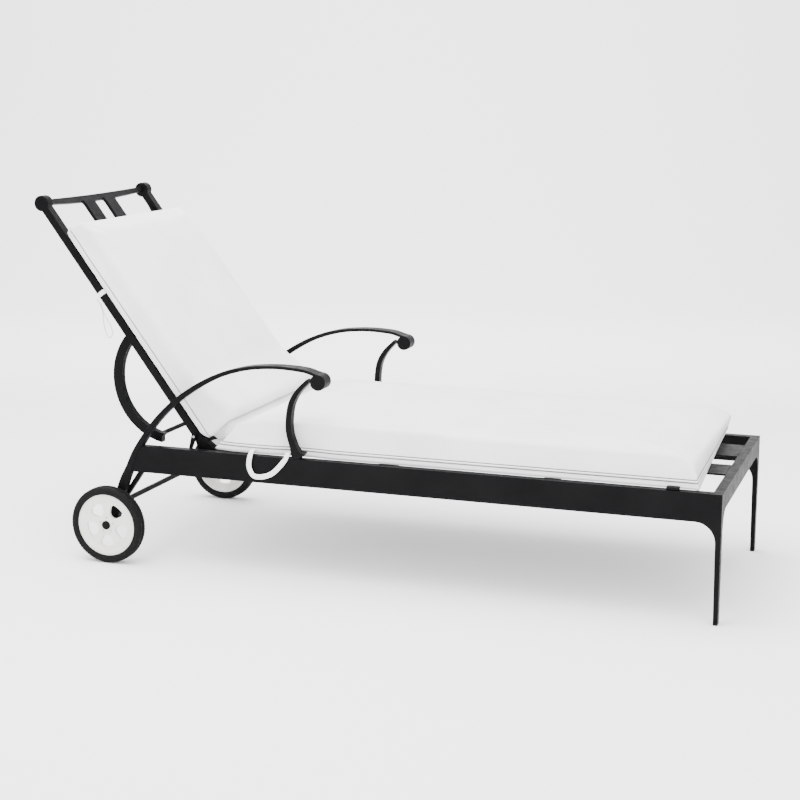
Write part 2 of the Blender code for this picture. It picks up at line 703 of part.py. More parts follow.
def make_pawl(label, side):
    """The catch that hangs from the stile beside the ratchet, with its pin."""
    x, z = on_back(0.060, -0.002)
    low, high = mirrored_span(side, RATCHET_IN, RATCHET_OUT - 0.0002)
    tip_angle = math.radians(170)
    reach = RATCHET_RADIUS + 0.0012
    tip = (HINGE_X + reach * math.cos(tip_angle), HINGE_Z + reach * math.sin(tip_angle))
    outline = [(x + 0.0065, z), (tip[0] + 0.000, tip[1] + 0.010), tip, (tip[0] - 0.004, tip[1] - 0.0065)]
    outline += [(tip[0] - 0.0115, tip[1] - 0.003)]
    outline += arc(x, z, 0.0065, 180, 0, 8)[:-1]
    pivot = (x, 0, z)
    pawl = plate(f"pawl_{label}", outline, low, high, powder_coat(), 0.0008, pivot)
    cut(pawl, round_bar(f"pawl_bore_{label}", x, z, low - 0.01, high + 0.01, 0.0033, zinc_steel(), 16))
    ends = mirrored_span(side, STILE_IN + 0.001, RATCHET_OUT - 0.0002)
    round_bar(f"pawl_pin_{label}", x, z, *ends, 0.003, zinc_steel(), 16, (HINGE_X, 0, HINGE_Z))


def make_wheel(label, side):
    """Pale rim with five rounded windows, ribbed tyre, hub cap and bush."""
    y = side * WHEEL_Y
    half = WHEEL_WIDTH / 2
    rim_out = WHEEL_RADIUS * 0.80
    lip = rim_out - 0.006
    hub = 0.0135
    pivot = (AXLE_X, y, AXLE_Z)
    profile = [
        (0.0075, 0.001 - half), (hub, 0.001 - half), (hub + 0.002, 0.001), (lip - 0.012, 0.002),
        (lip, -RIM_FACE), (rim_out, -RIM_FACE), (rim_out, RIM_FACE), (lip, RIM_FACE), (lip - 0.012, 0.008),
        (hub + 0.002, 0.009), (hub, HUB_FACE), (0.0075, HUB_FACE),
    ]
    profile = [(r, side * d) for r, d in profile]
    rim = turned(f"wheel_rim_{label}", profile, y, AXLE_X, AXLE_Z, rim_plastic(), 60, pivot)
    for i in range(5):
        window = wheel_window(f"window_{label}_{i}", y, 72 * i + 54, hub + 0.013, lip - 0.017)
        cut(rim, window)
    bead = rim_out + GAP
    tread = WHEEL_RADIUS
    shape = [(bead, -RIM_FACE - 0.001), (bead + 0.004, -half + 0.001), (tread - 0.005, -half), (tread - 0.0006, -half + 0.006)]
    shape += [(tread, 0)]
    shape += [(r, -d) for r, d in reversed(shape[:-1])]
    turned(f"wheel_tyre_{label}", shape, y, AXLE_X, AXLE_Z, tyre_rubber(), 60, pivot)
    inner, outer = BOLT_RADIUS + GAP, 0.0075 - GAP
    start = ARM_Y + ARM_BOSS + GAP - WHEEL_Y
    bush = [(inner, start), (outer, start), (outer, HUB_FACE), (inner, HUB_FACE)]
    bush = [(r, side * d) for r, d in bush]
    turned(f"wheel_bush_{label}", bush, y, AXLE_X, AXLE_Z, black_plastic(), 24, pivot)
    cap = [(0.0115, GAP), (0.0115, 0.0033), (0.0095, 0.0053), (0.004, 0.0058)]
    capped_turn(f"hub_cap_{label}", [(r, HUB_FACE + d) for r, d in cap], side, y, AXLE_X, AXLE_Z, black_plastic(), 32, pivot)


def wheel_window(name, y, angle, near, far):
    """A rounded wedge through the wheel's web."""
    spread_near, spread_far = 20, 23
    ring = [(far, a) for a in range(angle - spread_far + 6, angle + spread_far - 5, 6)]
    ring += [(far - 0.006, angle + spread_far), (near + 0.006, angle + spread_near), (near, angle + spread_near - 10)]
    ring += [(near, angle - spread_near + 10), (near + 0.006, angle - spread_near), (far - 0.006, angle - spread_far)]
    points = [(AXLE_X + r * math.cos(math.radians(a)), AXLE_Z + r * math.sin(math.radians(a))) for r, a in ring]
    return plate(name, points, y - 0.02, y + 0.02, rim_plastic(), 0)


def make_seat_tie():
    """A tape that leaves the seat cushion, hangs in a loop over the near rail and goes back."""
    y_seat, y_hang = -SEAT_HALF - 0.0006, -RAIL_OUT - 0.0045
    h = HINGE_X
    keys = (
        (h + 0.140, y_seat, RAIL_TOP + 0.012), (h + 0.140, -RAIL_IN - 0.018, RAIL_TOP + 0.011),
        (h + 0.138, y_hang, RAIL_TOP - 0.004), (h + 0.136, y_hang, RAIL_TOP - 0.030),
        (h + 0.152, y_hang, RAIL_TOP - 0.052), (h + 0.195, y_hang, RAIL_TOP - 0.043),
        (h + 0.232, y_hang, RAIL_TOP - 0.006), (h + 0.237, -RAIL_IN - 0.018, RAIL_TOP + 0.011),
        (h + 0.238, y_seat, RAIL_TOP + 0.012),
    )
    tube("seat_tie", smooth_path(keys, 5), 0.002, tie_tape())


def make_back_tie_band(label, side):
    """A flat tape ring round the stile, two thirds up the back."""
    wide, room, thick = 0.012, 0.0003, 0.0010
    middle = side * (STILE_OUT + STILE_IN) / 2

    def ring(grow):
        y, off = STILE_WIDTH / 2 + grow, STILE_DEPTH / 2 + grow
        return [(middle - y, -off), (middle + y, -off), (middle + y, off), (middle - y, off)]

    where = plane((0, 1, 0), FRONT, Vector((HINGE_X, 0, HINGE_Z)) + UP * TIE_UP)
    loops = [ring(room + thick), ring(room)]
    return cut_out(f"back_tie_band_{label}", loops, where, wide, tie_tape(), 0, (HINGE_X, 0, HINGE_Z))


def make_tie_cord():
    """The cord left over from the knot, hanging behind the near stile in a narrow loop."""
    s, y = TIE_UP, -STILE_OUT - 0.0045
    x, z = on_back(s, 0)
    keys = (
        (x - 0.010, y, z - 0.014), (x + 0.004, y, z - 0.040), (x + 0.007, y, z - 0.075), (x + 0.014, y, z - 0.103),
        (x + 0.025, y - 0.002, z - 0.113), (x + 0.033, y - 0.004, z - 0.103), (x + 0.031, y - 0.005, z - 0.083),
        (x + 0.020, y - 0.0055, z - 0.064), (x + 0.011, y - 0.006, z - 0.046), (x + 0.004, y - 0.006, z - 0.022),
    )
    tube("tie_cord", smooth_path(keys, 5), 0.0011, tie_tape())


def build_lounger():
    make_foot_rail()
    make_deck()
    make_stretcher()
    make_crossbar()
    make_back_rails()
    for label, side in SIDES:
        make_side_rail(label, side)
        make_foot_glide(label, side)
        make_arm(label, side)
        make_arm_post(label, side)
        make_leg_brace(label, side)
        make_hinge_bracket(label, side)
        make_ratchet(label, side)
        make_pivot_bolt(label, side)
        make_axle_bolt(label, side)
        make_rail_pad(label, side)
        make_back_stile(label, side)
        make_back_slat(label, side)
        make_crescent(label, side)
        make_hinge_bush(label, side)
        make_pawl(label, side)
        make_wheel(label, side)
        make_back_tie_band(label, side)
    make_seat_cushion()
    make_back_cushion()
    make_seat_tie()
    make_tie_cord()


build_lounger()
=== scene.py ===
"""Looks of the reclining sun lounger: cushions, ties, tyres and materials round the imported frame."""

import json
import math

import bmesh
import bpy
import numpy as np
from mathutils import Matrix, Vector


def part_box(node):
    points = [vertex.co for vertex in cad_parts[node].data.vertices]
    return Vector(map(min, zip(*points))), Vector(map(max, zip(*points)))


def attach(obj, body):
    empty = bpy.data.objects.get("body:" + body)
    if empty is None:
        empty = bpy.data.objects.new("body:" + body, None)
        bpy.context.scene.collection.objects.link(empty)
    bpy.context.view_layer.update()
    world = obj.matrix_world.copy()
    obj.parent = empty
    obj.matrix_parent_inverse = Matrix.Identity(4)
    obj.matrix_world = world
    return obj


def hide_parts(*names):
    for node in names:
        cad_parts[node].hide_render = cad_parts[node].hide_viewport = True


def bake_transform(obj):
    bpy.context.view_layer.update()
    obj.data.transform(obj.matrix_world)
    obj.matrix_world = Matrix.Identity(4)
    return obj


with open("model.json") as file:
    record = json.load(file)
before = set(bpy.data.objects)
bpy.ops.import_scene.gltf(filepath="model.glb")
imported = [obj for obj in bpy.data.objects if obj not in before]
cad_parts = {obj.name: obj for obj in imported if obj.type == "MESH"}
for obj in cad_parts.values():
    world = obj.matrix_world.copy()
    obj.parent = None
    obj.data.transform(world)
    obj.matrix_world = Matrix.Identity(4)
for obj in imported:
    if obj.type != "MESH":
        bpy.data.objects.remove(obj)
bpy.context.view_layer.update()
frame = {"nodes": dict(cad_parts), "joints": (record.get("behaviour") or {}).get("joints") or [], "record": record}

NODES = frame["nodes"]
JOINTS = {joint["name"]: joint for joint in frame["joints"]}
HINGE = Vector(JOINTS["back_recline"]["pos_m"])
BACK_ANGLE = math.radians(53.6)
UP = Vector((-math.cos(BACK_ANGLE), 0, math.sin(BACK_ANGLE)))
FRONT = Vector((math.sin(BACK_ANGLE), 0, math.cos(BACK_ANGLE)))
RAIL_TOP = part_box("side_rail_near")[1].z
RAIL_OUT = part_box("side_rail_far")[1].y
RAIL_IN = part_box("side_rail_far")[0].y
SEAT_LOW, SEAT_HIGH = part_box("seat_cushion")
STILE_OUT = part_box("back_stile_far")[1].y
STILE_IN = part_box("back_stile_far")[0].y
BACK_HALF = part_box("back_cushion")[1].y
MM = 0.001
SIDES = (("near", -1), ("far", 1))
CAMERA_TURN = math.radians(19.5)  # round the object, from straight in front of its near side


# ---------------------------------------------------------------- camera, floor and light


def make_camera():
    azimuth, elevation = CAMERA_TURN, math.radians(11.36)
    target, distance = Vector((0.0047, 0, 0.4111)), 4.289
    away = Vector(
        (
            math.sin(azimuth) * math.cos(elevation),
            -math.cos(azimuth) * math.cos(elevation),
            math.sin(elevation),
        )
    )
    data = bpy.data.cameras.new("camera")
    data.lens, data.sensor_width = 73.4, 36
    data.dof.use_dof = False
    camera = bpy.data.objects.new("camera", data)
    camera.location = target + away * distance
    camera.rotation_euler = (math.pi / 2 - elevation, 0, azimuth)
    bpy.context.scene.collection.objects.link(camera)
    bpy.context.scene.camera = camera


def area_light(name, place, size, power, aim=(0, 0, 0.3)):
    data = bpy.data.lights.new(name, "AREA")
    data.shape, data.size, data.size_y, data.energy = "RECTANGLE", *size, power
    light = bpy.data.objects.new(name, data)
    light.location = place
    light.rotation_euler = (Vector(aim) - Vector(place)).to_track_quat("-Z", "Y").to_euler()
    bpy.context.scene.collection.objects.link(light)


def make_studio():
    """A floor that curves up into a backdrop, an even sky and three large soft lights."""
    back, radius, half = 4.5, 2.5, 9.0
    profile = [(-7.0, 0.0), (back, 0.0)]
    profile += [
        (back + radius * math.sin(t), radius - radius * math.cos(t))
        for t in (math.pi / 2 * i / 12 for i in range(1, 13))
    ]
    profile += [(back + radius, 8.0)]
    turn = CAMERA_TURN
    bm = bmesh.new()
    rows = []
    for x in (-half, half):
        row = []
        for y, z in profile:
            row.append(
                bm.verts.new(
                    (
                        x * math.cos(turn) - y * math.sin(turn),
                        x * math.sin(turn) + y * math.cos(turn),
                        z,
                    )
                )
            )
        rows.append(row)
    for i in range(len(profile) - 1):
        bm.faces.new((rows[0][i], rows[1][i], rows[1][i + 1], rows[0][i + 1]))
    mesh = bpy.data.meshes.new("studio_floor")
    bm.to_mesh(mesh)
    bm.free()
    mesh.polygons.foreach_set("use_smooth", [True] * len(mesh.polygons))
    floor = bpy.data.objects.new("studio_floor", mesh)
    bpy.context.scene.collection.objects.link(floor)
    mesh.materials.append(studio_paper())
    world = bpy.data.worlds.new("studio")
    bpy.context.scene.world = world
    world.use_nodes = True
    sky = world.node_tree.nodes["Background"]
    sky.inputs["Color"].default_value = (*linear("f4f5f6"), 1)
    sky.inputs["Strength"].default_value = 2.3
    area_light("softbox_top", (-0.6, -0.4, 3.6), (4.5, 3.5), 420)
    area_light("softbox_front", (2.2, -3.6, 2.4), (3.0, 2.2), 110)
    area_light("backdrop_wash", (-1.0, 2.4, 2.6), (6.0, 2.0), 270, (-2.2, 7.0, 1.2))


# ---------------------------------------------------------------- materials


def linear(code):
    """A hex colour as linear numbers."""
    parts = [int(code[i : i + 2], 16) / 255 for i in (0, 2, 4)]
    return tuple(c / 12.92 if c <= 0.04045 else ((c + 0.055) / 1.055) ** 2.4 for c in parts)


class Shader:
    """A material's node tree, with short ways to add and join nodes."""

    def __init__(self, name):
        self.material = bpy.data.materials.new(name)
        self.material.use_nodes = True
        self.tree = self.material.node_tree
        self.main = self.tree.nodes["Principled BSDF"]
        self.place = self.add("ShaderNodeTexCoord").outputs["Object"]

    def add(self, kind, settings=None, **sockets):
        node = self.tree.nodes.new(kind)
        for key, value in (settings or {}).items():
            setattr(node, key, value)
        for key, value in sockets.items():
            self.put(node.inputs[key.replace("_", " ")], value)
        return node

    def put(self, socket, value):
        if isinstance(value, bpy.types.NodeSocket):
            self.tree.links.new(value, socket)
        else:
            socket.default_value = value

    def set(self, **sockets):
        for key, value in sockets.items():
            self.put(self.main.inputs[key.replace("_", " ")], value)

    def noise(self, size, detail=2.0, roughness=0.5, at=None):
        """Noise whose blobs are about size metres across."""
        return self.add(
            "ShaderNodeTexNoise",
            Vector=at or self.place,
            Scale=0.5 / size,
            Detail=detail,
            Roughness=roughness,
        ).outputs["Fac"]

    def ramp(self, value, low, high, start=0.35, end=0.65):
        """Maps value from start..end to low..high, where those are colours or numbers."""
        if isinstance(low, tuple):
            mix = self.add("ShaderNodeMix", {"data_type": "RGBA"})
            self.put(mix.inputs["Factor"], self.ramp(value, 0.0, 1.0, start, end))
            self.put(mix.inputs[6], (*low, 1))
            self.put(mix.inputs[7], (*high, 1))
            return mix.outputs[2]
        node = self.add("ShaderNodeMapRange", Value=value)
        for key, number in (("From Min", start), ("From Max", end), ("To Min", low), ("To Max", high)):
            node.inputs[key].default_value = number
        return node.outputs["Result"]

    def math(self, operation, *values):
        node = self.add("ShaderNodeMath", {"operation": operation})
        for socket, value in zip(node.inputs, values):
            self.put(socket, value)
        return node.outputs[0]

    def bump(self, height, depth, strength=1.0, below=None):
        """A bump depth metres deep."""
        node = self.add("ShaderNodeBump", Height=height, Distance=depth, Strength=strength)
        if below is not None:
            self.put(node.inputs["Normal"], below)
        self.put(self.main.inputs["Normal"], node.outputs["Normal"])
        return node.outputs["Normal"]


def studio_paper():
    made = Shader("studio_paper")
    made.set(Base_Color=(*linear("f8f8f8"), 1), Roughness=0.95)
    made.main.inputs["Specular IOR Level"].default_value = 0.1
    return made.material


def weave(made, pitch):
    """Over-and-under threads of the given pitch, as a height from 0 to 1."""
    split = made.add("ShaderNodeSeparateXYZ", Vector=made.place)
    turn = 2 * math.pi / pitch
    waves = [made.math("SINE", made.math("MULTIPLY", split.outputs[i], turn)) for i in range(3)]
    one = made.math("MULTIPLY", waves[0], waves[1])
    two = made.math("MULTIPLY", waves[1], waves[2])
    return made.math("ADD", 0.5, made.math("MULTIPLY", 0.25, made.math("ADD", one, two)))


def canvas(name="canvas", tone="ededec", shade="e2e2e1"):
    """Off-white outdoor canvas: a fine weave, slubs in the yarn and a faint cloudiness."""
    made = Shader(name)
    cloud = made.noise(0.09, 3)
    slub = made.noise(0.004, 4, 0.6)
    tint = made.ramp(made.math("ADD", made.math("MULTIPLY", cloud, 0.7), made.math("MULTIPLY", slub, 0.3)),
                     linear(shade), linear(tone), 0.38, 0.62)
    made.set(Base_Color=tint, Roughness=made.ramp(slub, 0.82, 0.92))
    made.main.inputs["Sheen Weight"].default_value = 0.25
    made.main.inputs["Sheen Roughness"].default_value = 0.5
    made.main.inputs["Specular IOR Level"].default_value = 0.25
    wrinkle = made.bump(made.noise(0.035, 3, 0.55), 0.0016, 0.35)
    fine = made.bump(weave(made, 1.1 * MM), 0.00012, 0.6, wrinkle)
    made.bump(slub, 0.00010, 0.5, fine)
    return made.material


def powder_coat():
    """Near-black powder coat: a fine orange peel with softer, slightly worn patches."""
    made = Shader("powder_coat")
    cloud = made.noise(0.05, 4)
    peel = made.noise(1.1 * MM, 2)
    scuff = made.noise(0.012, 5, 0.7)
    made.set(
        Base_Color=made.ramp(cloud, linear("060607"), linear("0a0a0b")),
        Roughness=made.ramp(scuff, 0.40, 0.54),
    )
    made.main.inputs["Specular IOR Level"].default_value = 0.06
    made.bump(peel, 0.00006, 0.5)
    return made.material


def zinc_steel():
    """Zinc-plated steel: blotchy spangle and fine scratches."""
    made = Shader("zinc_steel")
    spangle = made.add("ShaderNodeTexVoronoi", Vector=made.place, Scale=260.0).outputs["Distance"]
    made.set(
        Base_Color=made.ramp(spangle, linear("8d9092"), linear("b4b6b7"), 0.1, 0.7),
        Metallic=1.0,
        Roughness=made.ramp(made.noise(0.002, 5, 0.7), 0.28, 0.46),
    )
    made.bump(made.noise(0.0008, 3), 0.00003, 0.4)
    return made.material


def black_plastic():
    made = Shader("black_plastic")
    grain = made.noise(0.6 * MM, 2)
    made.set(
        Base_Color=made.ramp(made.noise(0.02), linear("060606"), linear("0a0a0a")),
        Roughness=made.ramp(grain, 0.42, 0.56),
    )
    made.main.inputs["Specular IOR Level"].default_value = 0.08
    made.bump(grain, 0.00004, 0.6)
    return made.material


def rim_plastic():
    """Pale moulded plastic with a satin surface and a trace of dust."""
    made = Shader("rim_plastic")
    dust = made.noise(0.02, 5, 0.65)
    made.set(
        Base_Color=made.ramp(dust, linear("d3d2cb"), linear("dfded8"), 0.3, 0.6),
        Roughness=made.ramp(dust, 0.34, 0.48),
    )
    made.main.inputs["Subsurface Weight"].default_value = 0.05
    made.bump(made.noise(0.5 * MM, 2), 0.00003, 0.4)
    return made.material


def tyre_rubber():
    made = Shader("tyre_rubber")
    dust = made.noise(0.015, 5, 0.7)
    made.set(
        Base_Color=made.ramp(dust, linear("090909"), linear("101010")),
        Roughness=made.ramp(dust, 0.62, 0.80),
    )
    made.main.inputs["Specular IOR Level"].default_value = 0.1
    made.bump(made.noise(0.8 * MM, 3), 0.00008, 0.6)
    return made.material


def tie_tape():
    """Narrow woven tape, its ribs across the object's height."""
    made = Shader("tie_tape")
    made.set(
        Base_Color=made.ramp(made.noise(0.006, 3), linear("e9e9e7"), linear("f4f4f2")),
        Roughness=0.85,
    )
    made.main.inputs["Sheen Weight"].default_value = 0.3
    made.bump(weave(made, 0.9 * MM), 0.00012, 0.7)
    return made.material


# ---------------------------------------------------------------- mesh helpers


def new_object(name, mesh, material, smooth=True):
    obj = bpy.data.objects.new(name, mesh)
    bpy.context.scene.collection.objects.link(obj)
    mesh.materials.clear()
    mesh.materials.append(material)
    if smooth:
        mesh.polygons.foreach_set("use_smooth", [True] * len(mesh.polygons))
    return obj


def place_on(obj, body, slot, *replaced):
    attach(obj, body)
    if replaced:
        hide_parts(*replaced)
    return obj


def coords(mesh):
    found = np.empty(len(mesh.vertices) * 3)
    mesh.vertices.foreach_get("co", found)
    return found.reshape(-1, 3)


def set_coords(mesh, points):
    mesh.vertices.foreach_set("co", np.ascontiguousarray(points, np.float64).ravel())
    mesh.update()


def baked(obj):
    """Replaces obj's mesh with what its modifiers make of it."""
    graph = bpy.context.evaluated_depsgraph_get()
    mesh = bpy.data.meshes.new_from_object(obj.evaluated_get(graph))
    obj.modifiers.clear()
    obj.data = mesh
    return obj


def smooth_path(keys, steps):
    """A smooth curve through key points, steps pieces to each stretch."""
    found = []
    last = len(keys) - 1
    for i in range(last):
        before, here = keys[max(i - 1, 0)], keys[i]
        after, beyond = keys[i + 1], keys[min(i + 2, last)]
        for j in range(steps + (i == last - 1)):
            t = j / steps
            found.append(
                Vector(
                    0.5 * (2 * b + (c - a) * t + (2 * a - 5 * b + 4 * c - d) * t**2)
                    + 0.5 * (3 * b - a - 3 * c + d) * t**3
                    for a, b, c, d in zip(before, here, after, beyond)
                )
            )
    return found


def curve_tube(name, path, radius, material, closed=False, sides=3):
    data = bpy.data.curves.new(name, "CURVE")
    data.dimensions = "3D"
    data.bevel_depth, data.bevel_resolution = radius, sides
    data.use_fill_caps = True
    spline = data.splines.new("POLY")
    spline.points.add(len(path) - 1)
    for point, here in zip(spline.points, path):
        point.co = (*here, 1)
    spline.use_cyclic_u = closed
    data.materials.append(material)
    obj = bpy.data.objects.new(name, data)
    bpy.context.scene.collection.objects.link(obj)
    return obj


def path_length(path):
    return sum((b - a).length for a, b in zip(path, path[1:]))


# ---------------------------------------------------------------- cushions


def puff(obj, pressure, cap, held=None):
    """Inflates a closed mesh with a cloth simulation; no point moves more than cap, held points stay."""
    start = coords(obj.data)
    if held is not None:
        group = obj.vertex_groups.new(name="held")
        group.add([int(i) for i in np.nonzero(held(start))[0]], 1.0, "REPLACE")
    cloth = obj.modifiers.new("cloth", "CLOTH")
    settings = cloth.settings
    settings.quality = 4
    settings.mass = 0.4
    settings.tension_stiffness = settings.compression_stiffness = 40
    settings.shear_stiffness, settings.bending_stiffness = 20, 2.0
    settings.use_pressure = True
    settings.uniform_pressure_force = pressure
    settings.effector_weights.gravity = 0
    if held is not None:
        settings.vertex_group_mass = "held"
    frames = 20
    cloth.point_cache.frame_start, cloth.point_cache.frame_end = 1, frames
    scene = bpy.context.scene
    for number in range(1, frames + 1):
        scene.frame_set(number)
    graph = bpy.context.evaluated_depsgraph_get()
    moved = coords(obj.evaluated_get(graph).to_mesh())
    obj.modifiers.clear()
    obj.vertex_groups.clear()
    scene.frame_set(1)
    shift = moved - start
    length = np.linalg.norm(shift, axis=1, keepdims=True)
    set_coords(obj.data, start + shift * np.minimum(1, cap / np.maximum(length, 1e-9)))


def remeshed(obj, voxel):
    remesh = obj.modifiers.new("remesh", "REMESH")
    remesh.mode, remesh.voxel_size = "VOXEL", voxel
    remesh.use_smooth_shade = True
    return baked(obj)


def shrunk(obj, amount):
    """Moves every point inwards along its normal."""
    normals = np.empty(len(obj.data.vertices) * 3)
    obj.data.vertices.foreach_get("normal", normals)
    set_coords(obj.data, coords(obj.data) - normals.reshape(-1, 3) * amount)


def squared(one, two, reach, share):
    """Turns the round corner where two distances from two faces meet into a crisper one."""
    inside = (one < reach) & (two < reach)
    a, b = reach - one, reach - two
    grow = np.where(inside, np.hypot(a, b) / np.maximum(np.maximum(a, b), 1e-6), 1.0)
    grow = 1 + (grow - 1) * share
    return np.maximum(reach - a * grow, 0), np.maximum(reach - b * grow, 0)


def cushion_from(node, name, material, voxel, cap, held, settle):
    """A cushion that starts as the frame's plain block, is eased in and blown up by the simulation.

    settle moves points on to what the cushion rests on, as a function of their places.
    """
    mesh = NODES[node].data.copy()
    obj = new_object(name, mesh, material)
    remeshed(obj, voxel)
    shrunk(obj, 1.0 * MM)
    puff(obj, 4.0, cap, held)
    relax = obj.modifiers.new("relax", "SMOOTH")
    relax.factor, relax.iterations = 0.4, 1
    subdivide = obj.modifiers.new("subdivide", "SUBSURF")
    subdivide.levels = subdivide.render_levels = 1
    baked(obj)
    set_coords(obj.data, settle(coords(obj.data)))
    obj.data.polygons.foreach_set("use_smooth", [True] * len(obj.data.polygons))
    obj.data.materials.clear()
    obj.data.materials.append(material)
    return obj


def seam_loop(obj, name, point, normal, radius, material, sink=0.35):
    """A welt, or a dark tube of painted seam shade, where a plane cuts the cushion's surface, set into the cloth
    by sink of its radius.
    """
    bm = bmesh.new()
    bm.from_mesh(obj.data)
    geometry = bm.verts[:] + bm.edges[:] + bm.faces[:]
    made = bmesh.ops.bisect_plane(bm, geom=geometry, dist=1e-6, plane_co=point, plane_no=normal)
    edges = {e for e in made["geom_cut"] if isinstance(e, bmesh.types.BMEdge)}
    edge = next(iter(sorted(edges, key=lambda e: tuple(e.verts[0].co))))
    first, here = edge.verts
    path = [first.co.copy()]
    edges.discard(edge)
    while here is not first:
        path.append(here.co.copy())
        follow = [e for e in here.link_edges if e in edges]
        if not follow:
            break
        edges.discard(follow[0])
        here = follow[0].other_vert(here)
    bm.free()
    step = max(1, int(0.008 * len(path) / max(path_length(path), 0.01)))
    path = path[::step]
    centre = sum(path, Vector()) / len(path)
    eased = []
    for i, p in enumerate(path):
        q = (path[i - 1] + p * 2 + path[(i + 1) % len(path)]) / 4
        out = (path[(i + 1) % len(path)] - path[i - 1]).cross(normal)
        out = out.normalized() if out.dot(q - centre) > 0 else -out.normalized()
        eased.append(q + out * radius * (1 - sink))
    return curve_tube(name, eased, radius, material, closed=True)


def on_back(s, off, y=0.0):
    point = HINGE + UP * s + FRONT * off
    return Vector((point.x, y, point.z))


def make_cushions(cloth):
    base = SEAT_LOW.z

    def seat_held(points):
        return points[:, 2] < base + 0.006

    def seat_settle(points):
        """Flat on the deck with a crisp lower edge, over the rails but dented to clear the posts.

        The foot end's lower edge is drawn in towards the far side.
        """
        points = points.copy()
        half, end = SEAT_HIGH.y + 0.0005, SEAT_HIGH.x
        height = points[:, 2] - points[:, 2].min()
        side = half - np.minimum(np.abs(points[:, 1]), half)
        edge_reach, end_reach = 0.010, 0.015
        side, height = squared(side, height, edge_reach, 1.0)
        tip, height = squared(np.maximum(end - points[:, 0], 0), height, end_reach, 0.8)
        tip, side = squared(tip, side, end_reach, 0.6)
        far = np.clip(0.5 + points[:, 1] / half / 2, 0, 1)
        low = np.clip(1 - height / 0.055, 0, 1)
        drawn_in, drawn_from = 0.034, 0.16
        tip += drawn_in * far * low * np.clip(1 - tip / drawn_from, 0, 1)
        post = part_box("arm_post_near")
        clear = np.abs(points[:, 0] - (post[0].x + post[1].x) / 2) - (post[1].x - post[0].x) / 2
        room = np.clip(clear / 0.05, 0, 1) * np.clip((points[:, 0] - HINGE.x - 0.03) / 0.05, 0, 1)
        room *= np.clip(1 - side / 0.06, 0, 1) * np.clip(1.4 - height / 0.045, 0, 1)
        over_rail = 0.0075
        side = side - over_rail * room
        points[:, 0] = np.where(points[:, 0] > end - 0.2, end - tip, points[:, 0])
        points[:, 1] = np.sign(points[:, 1]) * (half - side)
        flat_below = 0.006
        points[:, 2] = base + height * np.clip(height / flat_below, 0, 1)
        return points

    seat = cushion_from("seat_cushion", "seat_pad", cloth, 0.010, 0.006, seat_held, seat_settle)
    place_on(seat, "base", "canvas", "seat_cushion")

    rear, along = np.array(FRONT), np.array(UP)
    start = float(np.array(HINGE) @ rear)

    def back_held(points):
        return points @ rear < start + 0.019

    def back_settle(points):
        """Flat against the stiles' front faces, boxed at its top, which is stretched past the block."""
        off = points @ rear - start
        rest = 0.0125
        want = np.maximum(off, rest)
        near = np.clip((off - rest) / 0.016, 0, 1)
        want = np.where(near < 1, rest + (want - rest) * near, want)
        points = points + np.outer(want - off, rear)
        climb = points @ along
        top = climb.max()
        half = BACK_HALF + 0.002
        side = half - np.minimum(np.abs(points[:, 1]), half)
        reach, stretch, stretched_from = 0.016, 0.014, 0.15
        side, gap = squared(side, top - climb, reach, 0.9)
        front = (points @ rear).max()
        gap, _ = squared(gap, front - points @ rear, reach, 0.5)
        gap = gap - stretch * np.clip(1 - gap / stretched_from, 0, 1)
        points[:, 1] = np.sign(points[:, 1]) * (half - side)
        shift = top - gap - climb
        return points + np.outer(shift, along)

    back = cushion_from("back_cushion", "back_pad", cloth, 0.010, 0.007, back_held, back_settle)
    place_on(back, "back", "canvas", "back_cushion")

    # A slightly lighter copy of the canvas for the piping: painted highlight on the raised bead.
    welt = canvas("welt_canvas_lit", "efefee", "e6e6e5")
    # A dark copy of the canvas, laid in thin tubes along the seams: painted shade of the grooves beside the
    # piping.
    seam_shade = canvas("seam_shadow", "62625f", "545452")
    level = Vector((0, 0, 1))
    loops = (
        ("seat_seam_shade_low", seat, Vector((0, 0, base + 0.0155)), level, 1.0 * MM, seam_shade, "base"),
        ("seat_piping", seat, Vector((0, 0, base + 0.0190)), level, 1.9 * MM, welt, "base"),
        ("seat_seam_shade_high", seat, Vector((0, 0, base + 0.0225)), level, 1.0 * MM, seam_shade, "base"),
        ("back_piping", back, on_back(0, 0.026), FRONT.copy(), 1.8 * MM, welt, "back"),
        ("back_seam_shade", back, on_back(0, 0.0295), FRONT.copy(), 0.9 * MM, seam_shade, "back"),
    )
    for name, pad, point, normal, radius, material, body in loops:
        place_on(seam_loop(pad, name, point, normal, radius, material, 0.5), body, "canvas")
    make_fold(cloth)


def make_fold(cloth):
    """The pleat of cloth and foam in the mitre between the two cushions."""
    half = STILE_OUT - 0.016
    seat_face = [
        Vector((HINGE.x + 0.034, 0, SEAT_LOW.z + 0.010)),
        Vector((HINGE.x + 0.076, 0, SEAT_LOW.z + 0.052)),
    ]
    back_face = [on_back(0.034, 0.034), on_back(0.040, 0.094)]
    steps = 16
    bm = bmesh.new()
    rows = []
    for i in range(steps + 1):
        y = half * (2 * i / steps - 1)
        row = []
        for share in (0, 0.33, 0.66, 1):
            row.append(seat_face[0].lerp(seat_face[1], share))
        for share in (1, 0.66, 0.33, 0):
            row.append(back_face[0].lerp(back_face[1], share))
        rows.append([bm.verts.new(p + Vector((0, y, 0))) for p in row])
    for one, two in zip(rows, rows[1:]):
        for j in range(len(one)):
            k = (j + 1) % len(one)
            bm.faces.new((one[j], one[k], two[k], two[j]))
    bm.faces.new(rows[0])
    bm.faces.new(rows[-1])
    bmesh.ops.recalc_face_normals(bm, faces=bm.faces)
    bmesh.ops.subdivide_edges(bm, edges=bm.edges, cuts=2, use_grid_fill=True)
    mesh = bpy.data.meshes.new("fold_pleat")
    bm.to_mesh(mesh)
    bm.free()
    fold = new_object("fold_pleat", mesh, cloth)
    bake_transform(fold)


# ---------------------------------------------------------------- ties


